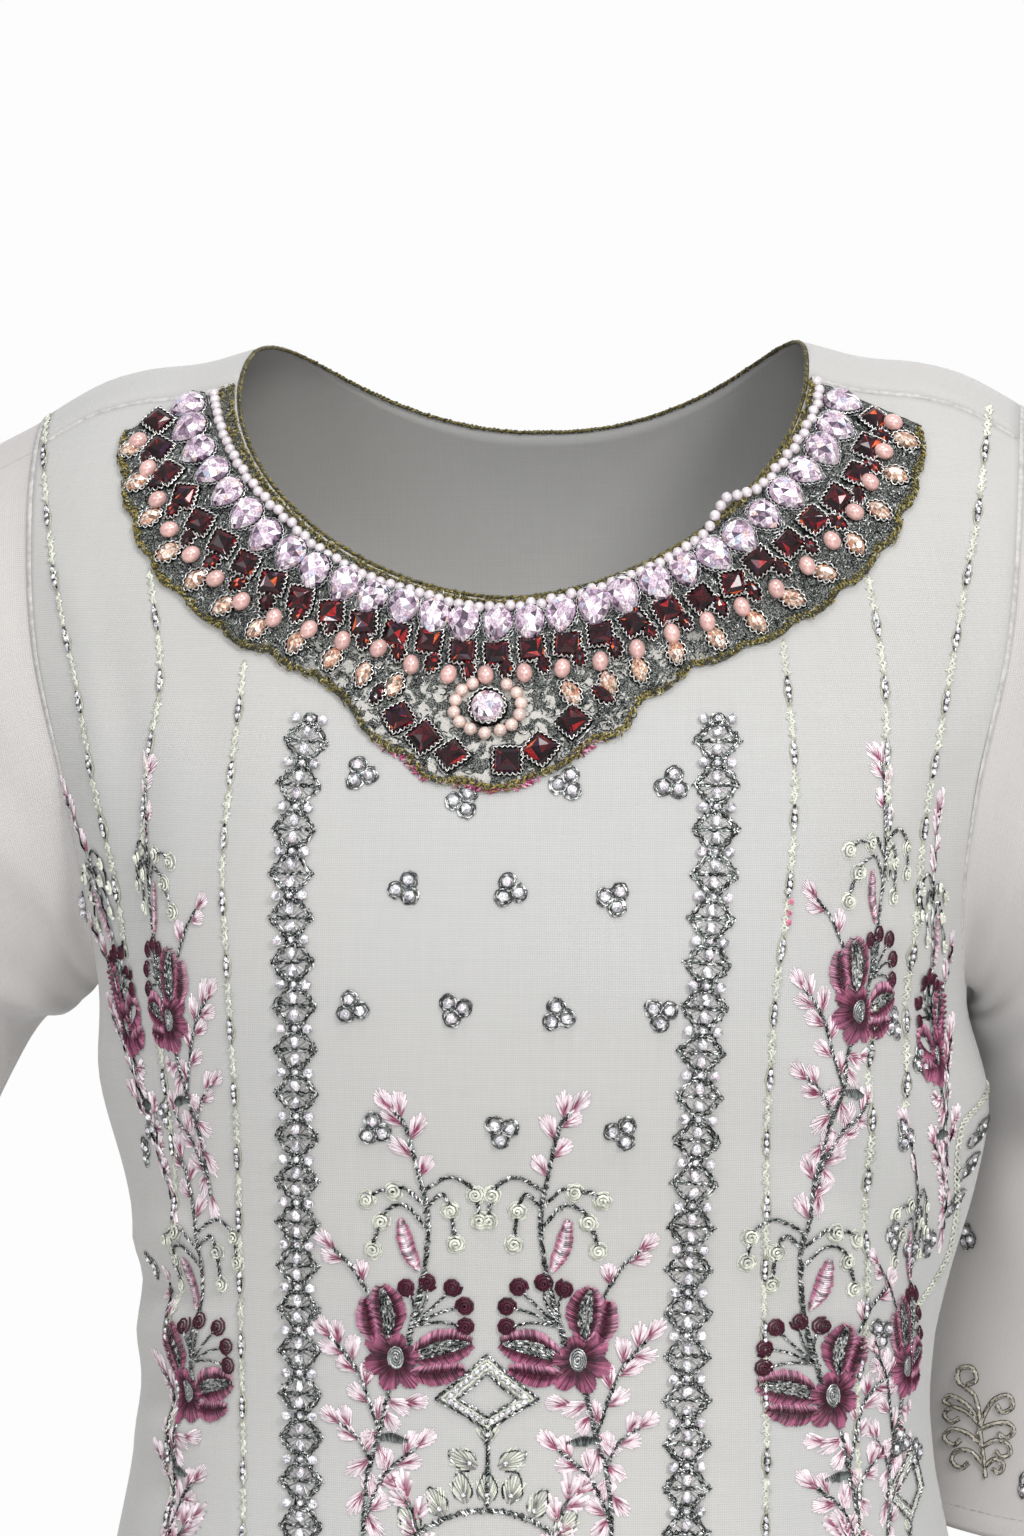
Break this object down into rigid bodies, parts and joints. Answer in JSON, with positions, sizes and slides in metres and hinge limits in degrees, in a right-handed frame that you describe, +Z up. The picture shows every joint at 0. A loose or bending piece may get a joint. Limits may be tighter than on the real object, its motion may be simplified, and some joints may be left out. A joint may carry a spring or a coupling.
{
  "type": "salwar kameez suit",
  "caption": "Worn-form long tunic with a scalloped beaded neckline, beaded front bands and bent sleeves, over pleated drawstring trousers with ankle cuffs.",
  "frame": {"origin": "midway between the two points where the shoulder ridge meets the neckline, where the wearer's neck and shoulders hold the suit", "axes": "+Z up along the wearer, the front faces -Y, +X towards the wearer's left hand"},
  "size_m": [0.673, 0.2742, 1.3611],
  "materials": {
    "kameez_cloth": "sheer plain weave, matt",
    "sleeve_cloth": "sheer plain weave, matt",
    "salwar_cloth": "fine plain weave, matt",
    "piping": "corded braid",
    "jewelled_patch": "metal-thread embroidery set with stones",
    "beaded_border": "metal-thread embroidery with clear beads",
    "thread": "satin stitch, silky",
    "zari": "metallic thread, glittering",
    "crystal": "faceted, foiled behind",
    "red_stone": "faceted, foiled behind",
    "peach_stone": "faceted, foiled behind",
    "pearl": "pearl lustre",
    "clear_bead": "clear, polished",
    "setting": "antique silver claws"
  },
  "bodies": {
    "root": {"kameez_front": "kameez_cloth", "kameez_back": "kameez_cloth", "sleeve_left": "sleeve_cloth", "sleeve_right": "sleeve_cloth", "neck_binding": "piping", "neck_patch": "jewelled_patch", "border_left": "beaded_border", "border_right": "beaded_border", "salwar_belt": "salwar_cloth", "salwar_leg_left": "salwar_cloth", "salwar_leg_right": "salwar_cloth", "salwar_cuff_left": "salwar_cloth", "salwar_cuff_right": "salwar_cloth"}
  },
  "joints": []
}
